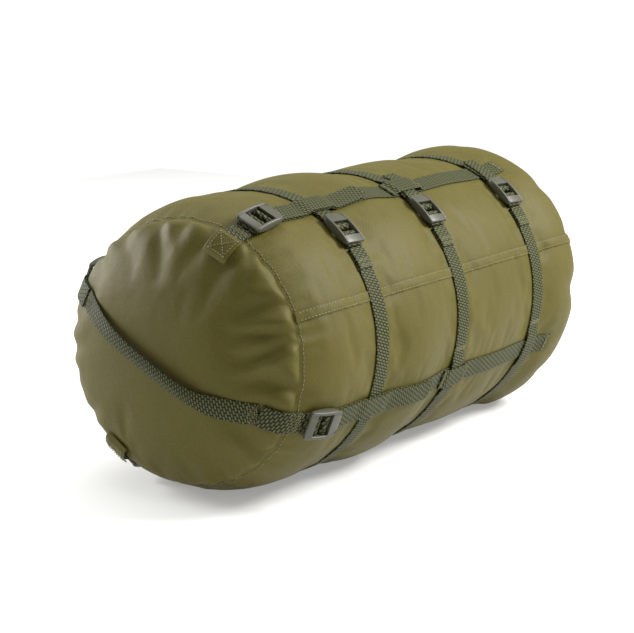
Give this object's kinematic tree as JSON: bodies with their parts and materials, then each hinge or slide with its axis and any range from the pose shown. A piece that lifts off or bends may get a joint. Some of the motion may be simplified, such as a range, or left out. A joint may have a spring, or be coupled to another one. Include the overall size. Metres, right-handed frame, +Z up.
{
  "type": "compression stuff sack",
  "caption": "Packed compression stuff sack on its side: coated cloth tube, gathered drawcord mouth, girth and lengthwise webbing straps with ladder locks, and a carry handle.",
  "frame": {"origin": "on the floor below the middle of the whole object: the middle of its box in X and Y, at the lowest point of its cloth", "axes": "+X runs along the sack from the bottom panel to the gathered mouth, +Z is up, +Y is the side away from lengthwise straps 1 and 2"},
  "size_m": [0.554, 0.2854, 0.2679],
  "materials": {
    "cloth": "satin coated ripstop",
    "webbing": "matt woven",
    "plastic": "satin moulded",
    "cord": "braided",
    "metal": "darkened",
    "load": "matt"
  },
  "bodies": {
    "sack": {"body_tube": "cloth", "mouth_end_1": "cloth", "mouth_end_2": "cloth", "mouth_end_3": "cloth", "mouth_end_4": "cloth", "bottom_panel": "cloth", "panel_seam": "cloth", "side_seam": "cloth", "packed_load": "load", "mouth_hem": "cloth", "drawcord": "cord", "eyelets": "metal", "girth_strap_a": "webbing", "girth_strap_b": "webbing", "girth_strap_c": "webbing", "long_strap_1": "webbing", "long_strap_2": "webbing", "long_strap_3": "webbing", "long_strap_4": "webbing", "anchor_1": "webbing", "anchor_2": "webbing", "anchor_3": "webbing", "anchor_4": "webbing", "anchor_patch_1": "webbing", "anchor_patch_3": "webbing", "keeper_1": "webbing", "keeper_2": "webbing", "keeper_3": "webbing", "keeper_4": "webbing"},
    "lock_a": {"ladder_lock_a": "plastic", "threading_a": "webbing", "anchor_loop_a": "webbing"},
    "lock_b": {"ladder_lock_b": "plastic", "threading_b": "webbing", "anchor_loop_b": "webbing"},
    "lock_c": {"ladder_lock_c": "plastic", "threading_c": "webbing", "anchor_loop_c": "webbing"},
    "lock_1": {"ladder_lock_1": "plastic", "threading_1": "webbing", "anchor_loop_1": "webbing"},
    "lock_2": {"ladder_lock_2": "plastic", "threading_2": "webbing", "anchor_loop_2": "webbing"},
    "lock_3": {"ladder_lock_3": "plastic", "threading_3": "webbing", "anchor_loop_3": "webbing"},
    "lock_4": {"ladder_lock_4": "plastic", "threading_4": "webbing", "anchor_loop_4": "webbing"},
    "handle": {"carry_handle": "webbing"}
  },
  "joints": [
    {"name": "lock_a_tilt", "type": "hinge", "parent": "sack", "child": "lock_a", "pos_m": [-0.12363, -0.10667, 0.22047], "axis": [0.9993, -0.029, -0.0232], "range_deg": [0, 60], "stiffness_Nm_per_rad": 0.05, "springref_deg": -11.46},
    {"name": "lock_b_tilt", "type": "hinge", "parent": "sack", "child": "lock_b", "pos_m": [0.01808, -0.10524, 0.22174], "axis": [0.9991, -0.0327, -0.0269], "range_deg": [0, 60], "stiffness_Nm_per_rad": 0.05, "springref_deg": -11.46},
    {"name": "lock_c_tilt", "type": "hinge", "parent": "sack", "child": "lock_c", "pos_m": [0.17085, -0.1037, 0.22312], "axis": [0.9989, -0.0365, -0.031], "range_deg": [0, 60], "stiffness_Nm_per_rad": 0.05, "springref_deg": -11.46},
    {"name": "lock_1_tilt", "type": "hinge", "parent": "sack", "child": "lock_1", "pos_m": [-0.2182, -0.05744, 0.24414], "axis": [0.0039, -0.9067, -0.4218], "range_deg": [0, 60], "stiffness_Nm_per_rad": 0.05, "springref_deg": -11.46},
    {"name": "lock_2_tilt", "type": "hinge", "parent": "sack", "child": "lock_2", "pos_m": [-0.22745, -0.12597, 0.08213], "axis": [-0.0036, 0.3754, -0.9269], "range_deg": [0, 60], "stiffness_Nm_per_rad": 0.05, "springref_deg": -11.46},
    {"name": "lock_3_tilt", "type": "hinge", "parent": "sack", "child": "lock_3", "pos_m": [-0.23079, 0.07399, 0.02347], "axis": [0.0047, 0.8393, 0.5437], "range_deg": [0, 60], "stiffness_Nm_per_rad": 0.05, "springref_deg": -11.46},
    {"name": "lock_4_tilt", "type": "hinge", "parent": "sack", "child": "lock_4", "pos_m": [-0.22181, 0.12414, 0.18094], "axis": [-0.0038, -0.4075, 0.9132], "range_deg": [0, 60], "stiffness_Nm_per_rad": 0.05, "springref_deg": -11.46},
    {"name": "handle_lift", "type": "hinge", "parent": "sack", "child": "handle", "pos_m": [-0.2517, -0.00512, 0.14225], "axis": [0.0218, 0.9303, 0.3661], "range_deg": [0, 80]}
  ]
}
